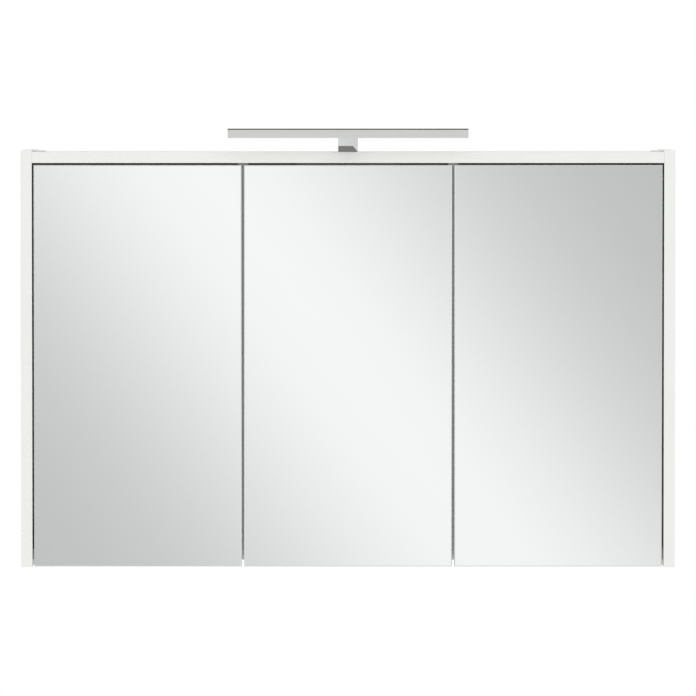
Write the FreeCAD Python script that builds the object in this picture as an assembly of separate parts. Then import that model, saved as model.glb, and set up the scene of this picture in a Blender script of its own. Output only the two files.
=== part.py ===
"""Wall-hung medicine cabinet with mirror doors and a lamp on top.

Frame: millimetres, +Z up, +X to the viewer's right, the front faces -Y.
The origin lies on the wall plane, at mid width, on the lower rear edge of the
bottom panel. The side panels reach a little below it.

The carcass is white melamine-faced board: side panels, a top panel between
them, a raised bottom panel, partitions and a back panel set in grooves.
Mirror doors lie between the side panels and under the top panel. They turn on
single-pivot cup hinges: a gooseneck arm reaches into the cup to a pin near the
door's edge. The first two doors are hinged on their left, the last on its right.
"""

import FreeCAD
import Part
import math
import os

V = FreeCAD.Vector

# ---- driving dimensions: carcass -------------------------------------------
cabinet_width = 1000.0
cabinet_height = 638.0
cabinet_depth = 200.0
outer_board = 17.0  # side, top and bottom panels
partition_board = 16.0
edge_round = 0.8  # edging on the boards' seen edges
top_drop = 3.0  # top panel below the upper ends of the side panels
bottom_rise = 9.5  # bottom panel above the lower ends: room for the fingers
back_board = 3.0
back_recess = 12.0  # space behind the back panel for the wall rail
groove_depth = 6.0
groove_play = 0.2

# ---- doors ------------------------------------------------------------------
door_board_thick = 12.0
mirror_thick = 4.0
mirror_margin = 0.6  # board showing round the glass
mirror_arris = 0.8  # ground edge on the front of the glass
door_lower_rise = 0.5  # lower door edge above the lower ends of the sides
door_gap_top = 3.0
door_gap_side = 2.4
door_gap_between = 3.6
door_to_carcass = 6.0  # door back to the front edges of bottom and partitions

# ---- hinges -----------------------------------------------------------------
hinge_from_end = 90.0  # hinge middle from the door's upper and lower ends
pin_from_edge = 10.5
pin_radius = 1.25
pin_play = 0.05
cup_radius = 17.5
cup_floor = 1.0  # board left in front of the cup
cup_wall = 0.8
cup_lug = 3.0  # lugs that hold the pin's ends: reach each way from the pin
cup_lug_play = 0.8  # between the lugs and the arm
cup_from_edge = 3.0
cup_flange = 1.0
cup_screw_clear = 5.0  # screw's middle beyond the cup's upper and lower ends
cup_screw_offset = 9.5  # screw from the cup's middle, away from the edge
arm_steel = 2.0
arm_neck_width = 12.0
arm_body_width = 17.0
arm_eye_radius = 2.5
arm_eye_play = 0.2  # eye from the cup's floor
neck_reach = 14.0  # neck from the pin, clear of the door's corner as it swings
neck_return = 9.0  # where the neck turns back, behind the door's back
plate_thick = 4.0
plate_wing_thick = 2.4
plate_line = 37.0  # system line behind the door's back
plate_screw_spread = 16.0
opening_angle = 95.0

# ---- shelves ----------------------------------------------------------------
shelf_glass = 5.0
shelf_end_play = 1.5
shelf_setback = 17.5  # shelf's front edge behind the front edges of the partitions
shelf_rear_play = 2.0
peg_radius = 2.5
peg_depth = 7.0
peg_collar_radius = 3.75
peg_collar_thick = 1.2
peg_tongue = 8.0
peg_front_inset = 30.0  # pin columns from the partition's front and rear ends
peg_rear_inset = 35.0
peg_row_first = 136.0  # above the bottom panel
peg_row_pitch = 32.0
peg_row_count = 11
shelf_rows = {"lower": 2, "upper": 8}

# ---- joinery ----------------------------------------------------------------
cam_radius = 7.0
cam_depth = 12.0
cam_from_end = 7.2
cam_cap_thick = 2.2
cam_bolt_radius = 3.0
cam_bolt_in_side = 12.0
dowel_radius = 4.0
dowel_in_side = 12.0
dowel_in_end = 18.0
joint_front_inset = 34.0  # first cam behind the front of the bottom panel
joint_rear_inset = 42.0
screw_radius = 3.5
screw_head_radius = 5.0
screw_head_depth = 3.0
screw_into_partition = 34.0

# ---- lamp -------------------------------------------------------------------
lamp_length = 364.0
lamp_depth = 40.0
lamp_height = 12.5  # without its top plate
lamp_top_plate_thick = 1.6
lamp_overhang = 90.0  # lamp front ahead of the cabinet front
lamp_wall = 1.4
lamp_end_cap = 2.0
diffuser_thick = 2.0
diffuser_recess = 0.2
led_count = 24
led_from_front = 13.0  # middle of the circuit strip behind the lamp's front
arm_width = 30.0
arm_height = 12.0
arm_wall = 1.2
arm_start = 8.0  # arm's end behind the lamp's front
riser_width = 24.0  # hollow block from the arm up into the lamp
riser_depth = 14.0
foot_height = 9.5
foot_front_inset = 6.0
foot_length = 92.0
foot_chamfer = 1.0
rib_width = 7.5  # slanted rib under the arm's right side that the foot fits against
rib_length = 6.0
lead_radius = 1.6
lead_bend = 7.0
lead_hole_radius = 6.5

# ---- power box --------------------------------------------------------------
box_width = 160.0
box_depth = 70.0
box_height = 60.0
box_wall = 2.5
box_front_inset = 50.0  # box front behind the front edges of the partitions
socket_recess_radius = 19.6
socket_recess_depth = 17.0
socket_rim_radius = 26.0
socket_offset = -38.0
rocker_width = 20.0
rocker_height = 14.0
rocker_play = 0.8
rocker_tilt = 6.0  # each way from level
rocker_offset = 42.0
grommet_radius = 9.0
grommet_bore = 4.0
grommet_lip = 2.0

# ---- wall hangers -----------------------------------------------------------
hanger_height = 62.0
hanger_depth = 40.0
hanger_width = 16.0
hanger_drop = 22.0  # housing top below the top panel
hook_steel = 2.5
hook_height = 14.0
hook_slot = 6.0  # room for the wall rail
hook_lip = 14.0
hook_travel = 4.0

# ---- worked-out places ------------------------------------------------------
front = -cabinet_depth
door_thick = door_board_thick + mirror_thick
door_back = front + door_thick
carcass_front = door_back + door_to_carcass
side_face = cabinet_width / 2 - outer_board  # inner faces of the side panels
side_low = -bottom_rise
side_high = side_low + cabinet_height
top_upper = side_high - top_drop
top_under = top_upper - outer_board
bottom_under = 0.0
bottom_upper = bottom_under + outer_board
back_rear = -back_recess
back_front = back_rear - back_board
door_low = side_low + door_lower_rise
door_high = top_under - door_gap_top
door_width = (2 * side_face - 2 * door_gap_side - 2 * door_gap_between) / 3
door_pitch = door_width + door_gap_between
partition_x = door_pitch / 2  # partition middles, left and right of centre
partition_half = partition_board / 2
hinge_levels = (door_low + hinge_from_end, door_high - hinge_from_end)
cup_depth = door_board_thick - cup_floor
pin_from_back = cup_depth - cup_wall - arm_eye_play - arm_eye_radius  # pin's axis ahead of the door's back
cup_screw_spread = cup_radius + cup_screw_clear

# Each door: the X of its hinge edge, the way its board runs from there, and
# how far the face that carries its plates lies from the edge (into the opening).
DOORS = {
    "left": (-side_face + door_gap_side, 1, -door_gap_side),
    "middle": (-door_width / 2, 1, partition_half - door_gap_between / 2),
    "right": (side_face - door_gap_side, -1, -door_gap_side),
}

# Each compartment: its inner faces in X.
BAYS = {
    "left": (-side_face, -partition_x - partition_half),
    "middle": (-partition_x + partition_half, partition_x - partition_half),
    "right": (partition_x + partition_half, side_face),
}


# ---- small helpers ----------------------------------------------------------
def box(x0, x1, y0, y1, z0, z1):
    """Box between two corners."""
    return Part.makeBox(x1 - x0, y1 - y0, z1 - z0, V(x0, y0, z0))


def edges_along(solid, way):
    """Straight edges of a solid that run along an axis."""
    return [e for e in solid.Edges if abs(e.tangentAt(e.FirstParameter).dot(way)) > 0.9]


def upper_circles(solid, level):
    """Round edges of a solid above a level."""
    return [e for e in solid.Edges if e.Curve.TypeId == "Part::GeomCircle" and e.CenterOfMass.z > level]


def eased(board, chosen):
    """Board with the edges whose middles pass a test rounded, as its edging is."""
    return board.makeFillet(edge_round, [e for e in board.Edges if chosen(e.CenterOfMass)])


def rod(radius, start, end):
    """Cylinder from one point to another."""
    along = V(*end) - V(*start)
    return Part.makeCylinder(radius, along.Length, V(*start), along)


def placed(shape, where, direction=(0, 0, 1)):
    """Copy of a shape with its +Z turned to a direction and its origin moved."""
    copy = shape.copy()
    copy.Placement = FreeCAD.Placement(V(*where), FreeCAD.Rotation(V(0, 0, 1), V(*direction)))
    return copy


def save(name, shapes):
    """Writes one node as a STEP file of one or more separate solids."""
    solids = [solid for shape in shapes for solid in shape.Solids]
    whole = solids[0] if len(solids) == 1 else Part.makeCompound(solids)
    whole.exportStep("parts/" + name + ".step")


def cross_recess(half_length, half_width, depth, top):
    """Cross-shaped drive recess, its mouth at a height on the +Z axis."""
    bar = box(-half_length, half_length, -half_width, half_width, top - depth, top + 1)
    other = box(-half_width, half_width, -half_length, half_length, top - depth, top + 1)
    return bar.fuse(other)


def pan_screw(head_radius, head_height, shank_radius, shank_length):
    """Screw along Z: head above 0, shank below, edge of the head rounded."""
    head = Part.makeCylinder(head_radius, head_height)
    head = head.makeFillet(head_height * 0.6, upper_circles(head, head_height / 2))
    screw = head.fuse(Part.makeCylinder(shank_radius, shank_length, V(0, 0, -shank_length)))
    return screw.cut(cross_recess(head_radius * 0.55, head_radius * 0.14, head_height * 0.7, head_height))


def flat_screw(head_radius, head_depth, shank_radius, shank_length):
    """Countersunk screw along Z: flat head at 0, everything below it."""
    head = Part.makeCone(shank_radius, head_radius, head_depth, V(0, 0, -head_depth))
    screw = head.fuse(Part.makeCylinder(shank_radius, shank_length, V(0, 0, -shank_length)))
    return screw.cut(cross_recess(head_radius * 0.55, head_radius * 0.14, head_depth * 0.6, 0))


def strap(points, bend, thick, z0, z1):
    """Flat strip bent in plan: a polyline of tangent arcs, given thickness and height."""
    pts = [V(x, y, z0) for x, y in points]
    sides = {1: [], -1: []}
    half = thick / 2
    start = pts[0]
    for i in range(1, len(pts)):
        run = (pts[i] - pts[i - 1]).normalize()
        left = V(-run.y, run.x, 0)
        if i < len(pts) - 1:
            out = (pts[i + 1] - pts[i]).normalize()
            turn = 1 if run.cross(out).z > 0 else -1
            end = pts[i] - run * bend
            centre = end + left * (turn * bend)
            leave = pts[i] + out * bend
            mid_way = centre + (pts[i] - centre).normalize() * bend
        else:
            end = pts[i]
        for side in (1, -1):
            sides[side].append(("line", start + left * (half * side), end + left * (half * side)))
        if i < len(pts) - 1:
            for side in (1, -1):
                radius = bend - turn * side * half
                spots = [centre + (p - centre).normalize() * radius for p in (end, mid_way, leave)]
                sides[side].append(("arc", *spots))
            start = leave
    edges = []
    for side in (1, -1):
        for piece in sides[side]:
            if piece[0] == "line":
                edges.append(Part.makeLine(piece[1], piece[2]))
            else:
                edges.append(Part.Arc(*piece[1:]).toShape())
    edges.append(Part.makeLine(sides[1][0][1], sides[-1][0][1]))
    edges.append(Part.makeLine(sides[1][-1][2], sides[-1][-1][2]))
    wire = Part.Wire(Part.__sortEdges__(edges))
    return Part.Face(wire).extrude(V(0, 0, z1 - z0))


# ---- fixings shared by the panels ------------------------------------------
def joint_depths():
    """Y of the two fixings in each carcass joint, front then rear."""
    return (carcass_front + joint_front_inset, back_front - joint_rear_inset)


def cam_sites():
    """Each cam: its middle on the panel's face, the way its cap faces, its side."""
    sites = []
    for side in (-1, 1):
        for y in joint_depths():
            for face, up in ((top_upper, 1), (bottom_under, -1)):
                sites.append((side * (side_face - cam_from_end), y, face, up, side))
    return sites


def cam_solid(site):
    """Connector housing, sunk flush into the face of the top or bottom panel."""
    x, y, face, up, _ = site
    housing = rod(cam_radius, (x, y, face - up * cam_depth), (x, y, face))
    return housing.cut(cam_bolt_solid(site))


def cam_bolt_solid(site):
    """Steel bolt from the side panel into the connector, along X."""
    x, y, face, up, side = site
    level = face - up * outer_board / 2
    return rod(cam_bolt_radius, (x, y, level), (side * (side_face + cam_bolt_in_side), y, level))


def cam_cap_solid(site):
    """Round cover cap lying on the panel over the connector, its rim softened."""
    x, y, face, up, _ = site
    cap = Part.makeCylinder(cam_radius - 0.1, cam_cap_thick)
    cap = cap.makeFillet(cam_cap_thick * 0.4, upper_circles(cap, cam_cap_thick / 2))
    return placed(cap, (x, y, face), (0, 0, up))


def dowel_solids():
    """Beech dowels: horizontal ones at the side panels, upright ones in the partitions."""
    front_y, rear_y = joint_depths()
    mid_y = (front_y + rear_y) / 2
    dowels = []
    for side in (-1, 1):
        for y in (front_y + (mid_y - front_y) / 2, rear_y + (mid_y - rear_y) / 2):
            for level in (top_under + outer_board / 2, bottom_under + outer_board / 2):
                outer = (side * (side_face + dowel_in_side), y, level)
                dowels.append(rod(dowel_radius, outer, (side * (side_face - dowel_in_end), y, level)))
        x = side * partition_x
        for face, into in ((top_under, 1), (bottom_upper, -1)):
            start = (x, mid_y, face + into * dowel_in_side)
            dowels.append(rod(dowel_radius, start, (x, mid_y, face - into * dowel_in_end)))
    return dowels


def partition_screw_solids():
    """Countersunk screws through the top and bottom panels into the partitions."""
    length = outer_board + screw_into_partition
    screw = flat_screw(screw_head_radius, screw_head_depth, screw_radius, length)
    return [
        placed(screw, (side * partition_x, y, face), (0, 0, up))
        for side in (-1, 1)
        for y in joint_depths()
        for face, up in ((top_upper, 1), (bottom_under, -1))
    ]


def screw_holes():
    """Holes that the partition screws fill, without their drive recesses."""
    holes = []
    for side in (-1, 1):
        for y in joint_depths():
            for face, up in ((top_upper, 1), (bottom_under, -1)):
                x = side * partition_x
                deep = outer_board + screw_into_partition
                holes.append(rod(screw_radius, (x, y, face), (x, y, face - up * deep)))
                sink = Part.makeCone(screw_radius, screw_head_radius, screw_head_depth)
                sink.translate(V(0, 0, -screw_head_depth))
                holes.append(placed(sink.removeSplitter(), (x, y, face), (0, 0, up)))
    return holes


# ---- shelf pins -------------------------------------------------------------
def peg_columns():
    """Y of the front and rear columns of pin holes."""
    return (carcass_front + peg_front_inset, back_front - peg_rear_inset)


def peg_level(row):
    """Z of a row of pin holes."""
    return bottom_upper + peg_row_first + row * peg_row_pitch


def peg_holes(face, into):
    """Rows of holes in a panel face at X = face, running into the panel."""
    return [
        rod(peg_radius, (face, y, peg_level(row)), (face + into * peg_depth, y, peg_level(row)))
        for y in peg_columns()
        for row in range(peg_row_count)
    ]


def shelf_peg(face, y, level, inward):
    """Steel shelf pin: stem in the panel, collar on its face, flat tongue under the glass."""
    stem = rod(peg_radius, (face - inward * peg_depth, y, level), (face, y, level))
    collar = rod(peg_collar_radius, (face, y, level), (face + inward * peg_collar_thick, y, level))
    x0, x1 = sorted((face, face + inward * peg_tongue))
    tongue = box(x0, x1, y - peg_radius - 1, y + peg_radius + 1, level - 0.5, level + peg_radius)
    tip_x = face + inward * peg_tongue
    tip = rod(peg_radius + 1, (tip_x, y, level - 0.5), (tip_x, y, level + peg_radius))
    return stem.fuse([collar, tongue, tip]).removeSplitter()


def shelf_solid(bay, row):
    """Glass shelf resting on four pins, its edges lightly ground."""
    x0, x1 = BAYS[bay]
    under = peg_level(row) + peg_radius
    rear = back_front - shelf_rear_play
    ahead = carcass_front + shelf_setback
    plate = box(x0 + shelf_end_play, x1 - shelf_end_play, ahead, rear, under, under + shelf_glass)
    return plate.makeChamfer(0.6, plate.Edges)


# ---- carcass panels ---------------------------------------------------------
def back_groove():
    """Slot that the back panel slides into, all round."""
    reach = side_face + groove_depth
    y0 = back_front - groove_play / 2
    y1 = back_rear + groove_play / 2
    return box(-reach, reach, y0, y1, bottom_upper - groove_depth, top_under + groove_depth)


def plate_screw_sites(door):
    """Where each hinge-plate screw enters: its point on the face and its direction."""
    edge, way, face = DOORS[door]
    return [
        ((edge + way * face, door_back + plate_line, level + up * plate_screw_spread), way)
        for level in hinge_levels
        for up in (-1, 1)
    ]


plate_screw_depth = 11.0
plate_screw_radius = 2.5


def plate_screw_holes(doors):
    """Holes in a panel for the hinge-plate screws of the named doors."""
    holes = []
    for door in doors:
        for (x, y, z), way in plate_screw_sites(door):
            holes.append(rod(plate_screw_radius, (x, y, z), (x - way * plate_screw_depth, y, z)))
    return holes


def side_panel(side, door):
    """Upright side panel: groove, pin holes, and holes for its joints and hinges."""
    x0, x1 = sorted((side * side_face, side * (side_face + outer_board)))
    panel = eased(box(x0, x1, front, 0, side_low, side_high), lambda p: p.y < -edge_round)
    cuts = [back_groove()]
    cuts += peg_holes(side * side_face, side)
    cuts += [cam_bolt_solid(site) for site in cam_sites()]
    cuts += dowel_solids()
    cuts += plate_screw_holes([door])
    cuts += hanger_screw_holes()
    return panel.cut(cuts)


def top_panel():
    """Top panel between the sides, over the doors, with the lamp's holes."""
    panel = eased(box(-side_face, side_face, front, 0, top_under, top_upper), lambda p: p.y < front + 0.1)
    cuts = [back_groove()]
    cuts += [cam_solid(site).fuse(cam_bolt_solid(site)) for site in cam_sites()]
    cuts += dowel_solids() + screw_holes() + box_screw_holes()
    cuts += foot_screw_holes(top_under - 1, top_upper + 1)
    cuts.append(rod(lead_hole_radius, (0, lead_drop_y, top_under), (0, lead_drop_y, top_upper)))
    return panel.cut(cuts)


def bottom_panel():
    """Bottom panel behind the doors, raised to leave a grip below it."""
    panel = box(-side_face, side_face, carcass_front, 0, bottom_under, bottom_upper)
    panel = eased(panel, lambda p: p.y < carcass_front + 0.1)
    cuts = [back_groove()]
    cuts += [cam_solid(site).fuse(cam_bolt_solid(site)) for site in cam_sites()]
    cuts += dowel_solids() + screw_holes()
    return panel.cut(cuts)


def partition(side, doors):
    """Upright partition with pin holes from both faces."""
    x = side * partition_x
    panel = box(x - partition_half, x + partition_half, carcass_front, back_front, bottom_upper, top_under)
    panel = eased(panel, lambda p: p.y < carcass_front + 0.1)
    cuts = peg_holes(x - partition_half, 1) + peg_holes(x + partition_half, -1)
    cuts += dowel_solids() + screw_holes() + plate_screw_holes(doors)
    return panel.cut(cuts)


def back_panel():
    """Hardboard back in its grooves, notched for the hangers and holed for the cable."""
    reach = side_face + groove_depth - groove_play
    low = bottom_upper - groove_depth + groove_play
    high = top_under + groove_depth - groove_play
    panel = box(-reach, reach, back_front, back_rear, low, high)
    cuts = []
    window_low = hook_low - 2 * hook_travel - hook_lip
    window_high = hook_high + 2 * hook_travel
    for side in (-1, 1):
        x0, x1 = sorted((side * (side_face - hanger_width), side * (side_face - 2)))
        cuts.append(box(x0, x1, back_front - 1, back_rear + 1, window_low, window_high))
    cuts.append(grommet_rod(grommet_radius, back_front - 1, back_rear + 1))
    return panel.cut(cuts)


# ---- hinges -----------------------------------------------------------------
def onto_door(shape, door, level):
    """Moves a hinge piece from the hinge's own frame to its place.

    In that frame X runs from the door's hinge edge into the opening, Y runs
    back from the door's rear face, and Z is the hinge's own middle.
    """
    edge, way, _ = DOORS[door]
    moved = shape.copy()
    if way < 0:
        moved = moved.mirror(V(0, 0, 0), V(1, 0, 0))
    moved.translate(V(edge, door_back, level))
    return moved


cup_x = cup_from_edge + cup_radius


ear_x = cup_x + cup_screw_offset
ear_radius = 4.5
cup_screw_hole = 1.7
cup_screw_depth = 9.0


def hinge_cup():
    """Pressed cup with its screw flange; its lugs hold the ends of the pin."""
    barrel = rod(cup_radius, (cup_x, 0, 0), (cup_x, -cup_depth, 0))
    bottom = cup_depth - cup_wall
    hollow = rod(cup_radius - cup_wall, (cup_x, cup_flange + 1, 0), (cup_x, -bottom, 0))
    flange = rod(cup_radius + 1.5, (cup_x, 0, 0), (cup_x, cup_flange, 0))
    for z in (-cup_screw_spread, cup_screw_spread):
        flange = flange.fuse(rod(ear_radius, (ear_x, 0, z), (ear_x, cup_flange, z)))
        z0, z1 = sorted((math.copysign(12, z), z))
        flange = flange.fuse(box(ear_x - ear_radius, ear_x + ear_radius, 0, cup_flange, z0, z1))
    flange = flange.common(box(cup_from_edge, cup_x + 30, -1, cup_flange + 1, -40, 40))
    cup = barrel.fuse(flange).cut(hollow)
    inner = arm_neck_width / 2 + cup_lug_play
    for up in (-1, 1):
        z0, z1 = sorted((up * inner, up * cup_radius))
        x0, x1 = pin_from_edge - cup_lug, pin_from_edge + cup_lug
        lug = box(x0, x1, -cup_depth, cup_lug - pin_from_back, z0, z1)
        cup = cup.fuse(lug.common(barrel))
    for z in (-cup_screw_spread, cup_screw_spread):
        cup = cup.cut(rod(cup_screw_hole + 0.05, (ear_x, -1, z), (ear_x, 2, z)))
    return cup.cut(hinge_pin()).removeSplitter()


def pin_rod(radius, half):
    """Cylinder on the pin's axis, reaching half its length up and down."""
    return rod(radius, (pin_from_edge, -pin_from_back, -half), (pin_from_edge, -pin_from_back, half))


def hinge_pin():
    """Steel pin across the cup, near the door's edge."""
    half = math.sqrt(cup_radius**2 - (cup_x - pin_from_edge + pin_radius) ** 2) - 0.2
    return pin_rod(pin_radius, half)


def cup_bore():
    """Blind bore in the door board for the cup."""
    return rod(cup_radius, (cup_x, 1, 0), (cup_x, -cup_depth, 0))


def cup_screws():
    """The two wood screws that hold a cup's flange to the door."""
    screw = pan_screw(3.2, 1.8, cup_screw_hole, cup_screw_depth)
    places = [(ear_x, cup_flange, z) for z in (-cup_screw_spread, cup_screw_spread)]
    return [placed(screw, place, (0, 1, 0)) for place in places]


def cup_screw_holes():
    """Pilot holes in the door board for the cup's screws."""
    floor = cup_flange - cup_screw_depth
    spread = (-cup_screw_spread, cup_screw_spread)
    return [rod(cup_screw_hole, (ear_x, cup_flange, z), (ear_x, floor, z)) for z in spread]


arm_rear = plate_line + 29.0
arm_body_front = plate_line - 21.0
arm_fix_y = plate_line + 19.0
arm_adjust_y = plate_line - 7.0


def arm_web(face):
    """X of the middle of the arm's web, over a plate on a face at X = face."""
    return face + plate_thick + arm_steel / 2


def hinge_arm(face):
    """Gooseneck arm: eye on the pin, neck round the door's corner, body over the plate."""
    web = arm_web(face)
    neck_x = pin_from_edge + neck_reach
    route = [
        (pin_from_edge, -pin_from_back),
        (neck_x, -pin_from_back),
        (neck_x, neck_return),
        (web, neck_return),
        (web, arm_rear),
    ]
    half_neck = arm_neck_width / 2
    half_body = arm_body_width / 2
    neck = strap(route, 3.0, arm_steel, -half_neck, half_neck)
    eye = pin_rod(arm_eye_radius, half_neck)
    body = box(web - 1, web + 1, arm_body_front, arm_rear, -half_body, half_body)
    arm = neck.fuse([eye, body])
    for up in (-1, 1):
        z0, z1 = sorted((up * half_body, up * (half_body - arm_steel)))
        arm = arm.fuse(box(web - 2.4, web - 1, arm_body_front, arm_rear, z0, z1))
    cuts = [pin_rod(pin_radius + pin_play, half_neck + 1)]
    for y in (arm_fix_y, arm_adjust_y):
        cuts.append(rod(2.6, (web - 3, y, 0), (web + 3, y, 0)))
    return arm.cut(cuts).removeSplitter()


def hinge_plate(face):
    """Mounting plate: a raised rail under the arm and two screw wings."""
    rail = box(face, face + plate_thick, plate_line - 13, plate_line + 25, -6.2, 6.2)
    wings = box(face, face + plate_wing_thick, plate_line - 8, plate_line + 8, -24, 24)
    corners = edges_along(wings, V(1, 0, 0))
    plate = rail.fuse(wings.makeFillet(5.0, corners)).removeSplitter()
    cuts = [rod(2.5, (face - 1, y, 0), (face + plate_thick + 1, y, 0)) for y in (arm_fix_y, arm_adjust_y)]
    for up in (-1, 1):
        z = up * plate_screw_spread
        cuts.append(rod(plate_screw_radius, (face - 1, plate_line, z), (face + 5, plate_line, z)))
    return plate.cut(cuts)


def hinge_arm_screws(face):
    """Fixing and side-adjusting screws through the arm's web into the plate."""
    top = face + plate_thick + arm_steel
    deep = plate_thick + arm_steel
    fix = pan_screw(4.2, 1.8, 2.5, deep)
    adjust = pan_screw(3.4, 1.2, 2.5, deep)
    return [placed(fix, (top, arm_fix_y, 0), (1, 0, 0)), placed(adjust, (top, arm_adjust_y, 0), (1, 0, 0))]


def plate_screws(door):
    """Screws that hold a door's hinge plates to the panel."""
    screw = pan_screw(4.4, 2.0, plate_screw_radius, plate_screw_depth + plate_wing_thick)
    return [
        placed(screw, (x + way * plate_wing_thick, y, z), (way, 0, 0))
        for (x, y, z), way in plate_screw_sites(door)
    ]


# ---- doors ------------------------------------------------------------------
def door_span(door):
    """X of a door's left and right edges."""
    edge, way, _ = DOORS[door]
    return tuple(sorted((edge, edge + way * door_width)))


def door_board(door):
    """White backing board of a door, bored for its cups."""
    x0, x1 = door_span(door)
    board = box(x0, x1, front + mirror_thick, door_back, door_low, door_high)
    board = eased(board, lambda p: p.y > front + mirror_thick + 0.1)
    cuts = []
    for level in hinge_levels:
        cuts.append(onto_door(cup_bore(), door, level))
        cuts += [onto_door(hole, door, level) for hole in cup_screw_holes()]
    return board.cut(cuts)


def door_mirror(door):
    """Silvered glass bonded to the board, its front edges ground."""
    x0, x1 = door_span(door)
    m = mirror_margin
    glass = box(x0 + m, x1 - m, front, front + mirror_thick, door_low + m, door_high - m)
    rim = [e for e in glass.Edges if abs(e.CenterOfMass.y - front) < 1e-6]
    return glass.makeChamfer(mirror_arris, rim)


bumper_radius = 2.5
bumper_play = 0.15
bumper_round = 1.2
bumper_from_end = 50.0


def bumpers():
    """Soft stops on the partitions' front edges, behind each door's free edge."""
    spots = []
    tip = door_back + bumper_play
    inset = (partition_half + door_gap_between / 2) / 2  # from the partition's middle
    for x in (-partition_x - inset, partition_x - inset, partition_x + inset):
        for z in (door_low + bumper_from_end, door_high - bumper_from_end):
            dome = rod(bumper_radius, (x, carcass_front, z), (x, tip, z))
            rim = [e for e in dome.Edges if abs(e.CenterOfMass.y - tip) < 1e-6]
            spots.append(dome.makeFillet(bumper_round, rim))
    return spots


# ---- lamp -------------------------------------------------------------------
lamp_front = front - lamp_overhang
lamp_rear = lamp_front + lamp_depth
foot_high = top_upper + foot_height
arm_low = foot_high
arm_high = arm_low + arm_height
lamp_low = arm_high
lamp_high = lamp_low + lamp_height
foot_front = front + foot_front_inset
foot_rear = foot_front + foot_length
arm_front = lamp_front + arm_start
riser_rear = lamp_rear - lamp_wall
riser_front = riser_rear - riser_depth
riser_high = lamp_high - lamp_wall
lead_level = (arm_low + arm_high) / 2
lead_rise_y = (riser_front + riser_rear) / 2
lead_drop_y = foot_rear - 12.0
lamp_edge_round = lamp_wall * 0.7
foot_screw_sites = ((-8.0, foot_front + 18.0), (8.0, foot_front + 50.0))  # X, Y


def lower_lamp_edges(body):
    """Lower edges of a lamp piece that run along the lamp."""
    return [e for e in edges_along(body, V(1, 0, 0)) if e.CenterOfMass.z < lamp_low + 1]


def lamp_end_face(side):
    """X of the joint between the channel and an end cap."""
    return side * (lamp_length / 2 - lamp_end_cap)


def lamp_housing():
    """Aluminium channel, open below, its lower outer edges rounded."""
    x0, x1 = lamp_end_face(-1), lamp_end_face(1)
    body = box(x0, x1, lamp_front, lamp_rear, lamp_low, lamp_high)
    body = body.makeFillet(lamp_edge_round, lower_lamp_edges(body))
    w = lamp_wall
    hollow = box(x0 - 1, x1 + 1, lamp_front + w, lamp_rear - w, lamp_low - 1, lamp_high - w)
    return body.cut([hollow] + riser_screw_solids(0))


def lamp_top_plate():
    """Dark plate that closes the lamp's top, its long edges softened."""
    half = lamp_length / 2
    plate = box(-half, half, lamp_front, lamp_rear, lamp_high, lamp_high + lamp_top_plate_thick)
    rims = [e for e in plate.Edges if e.CenterOfMass.z > lamp_high + lamp_top_plate_thick - 0.1]
    return plate.makeFillet(lamp_top_plate_thick * 0.3, rims)


def lamp_end_caps():
    """Moulded caps on the channel's ends, with a spigot inside it."""
    caps = []
    for side in (-1, 1):
        inner = lamp_end_face(side)
        x0, x1 = sorted((inner, side * lamp_length / 2))
        cap = box(x0, x1, lamp_front, lamp_rear, lamp_low, lamp_high)
        cap = cap.makeFillet(lamp_edge_round, lower_lamp_edges(cap))
        w = lamp_wall + 0.1
        x2, x3 = sorted((inner, inner - side * 4))
        low = lamp_low + diffuser_recess + diffuser_thick + 0.2
        spigot = box(x2, x3, lamp_front + w, lamp_rear - w, low, lamp_high - w)
        caps.append(cap.fuse(spigot).removeSplitter())
    return caps


def riser_box(play):
    """Outline of the arm's riser with some play round it, from the arm's top up."""
    half = riser_width / 2 + play
    return box(-half, half, riser_front - play, riser_rear + play, arm_high, riser_high)


def lamp_diffuser():
    """Opal strip clipped into the underside of the channel, notched round the riser."""
    x0, x1 = lamp_end_face(-1), lamp_end_face(1)
    low = lamp_low + diffuser_recess
    strip = box(x0, x1, lamp_front + lamp_wall, lamp_rear - lamp_wall, low, low + diffuser_thick)
    return strip.cut(riser_box(0.3))


def led_strip():
    """Circuit strip under the channel's roof, with its row of light chips."""
    half = lamp_end_face(1) - 5
    mid = lamp_front + led_from_front
    top = lamp_high - lamp_wall
    strip = [box(-half, half, mid - 5, mid + 5, top - 1.2, top)]
    pitch = 2 * (half - 6) / (led_count - 1)
    for i in range(led_count):
        x = -(half - 6) + i * pitch
        strip.append(box(x - 1.75, x + 1.75, mid - 1.4, mid + 1.4, top - 2.0, top - 1.2))
    return strip


def arm_rib():
    """Slanted rib under the right front corner of the arm; it runs out at the top panel."""
    half = arm_width / 2
    corners = [
        V(half, foot_front, foot_high),
        V(half - rib_width, foot_front, foot_high),
        V(half, foot_front, top_upper),
    ]
    return Part.Face(Part.makePolygon(corners + corners[:1])).extrude(V(0, rib_length, 0))


def lamp_arm():
    """Flat tube under the lamp, back over the foot, with a hollow riser into the lamp."""
    half = arm_width / 2
    tube = box(-half, half, arm_front, foot_rear, arm_low, arm_high)
    tube = tube.makeFillet(arm_wall * 0.6, edges_along(tube, V(0, 1, 0)))
    w = arm_wall
    tube = tube.fuse([riser_box(0), arm_rib()]).removeSplitter()
    inner = riser_width / 2 - w
    cuts = [
        box(-half + w, half - w, arm_front + w, foot_rear - w, arm_low + w, arm_high - w),
        box(-inner, inner, riser_front + w, riser_rear - w, arm_high - w - 1, riser_high - w),
        rod(lead_hole_radius, (0, lead_drop_y, arm_low - 1), (0, lead_drop_y, arm_low + w + 1)),
    ]
    cuts += foot_screw_holes(arm_low - 1, arm_low + w + 1) + riser_screw_solids(0)
    return tube.cut(cuts)


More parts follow.
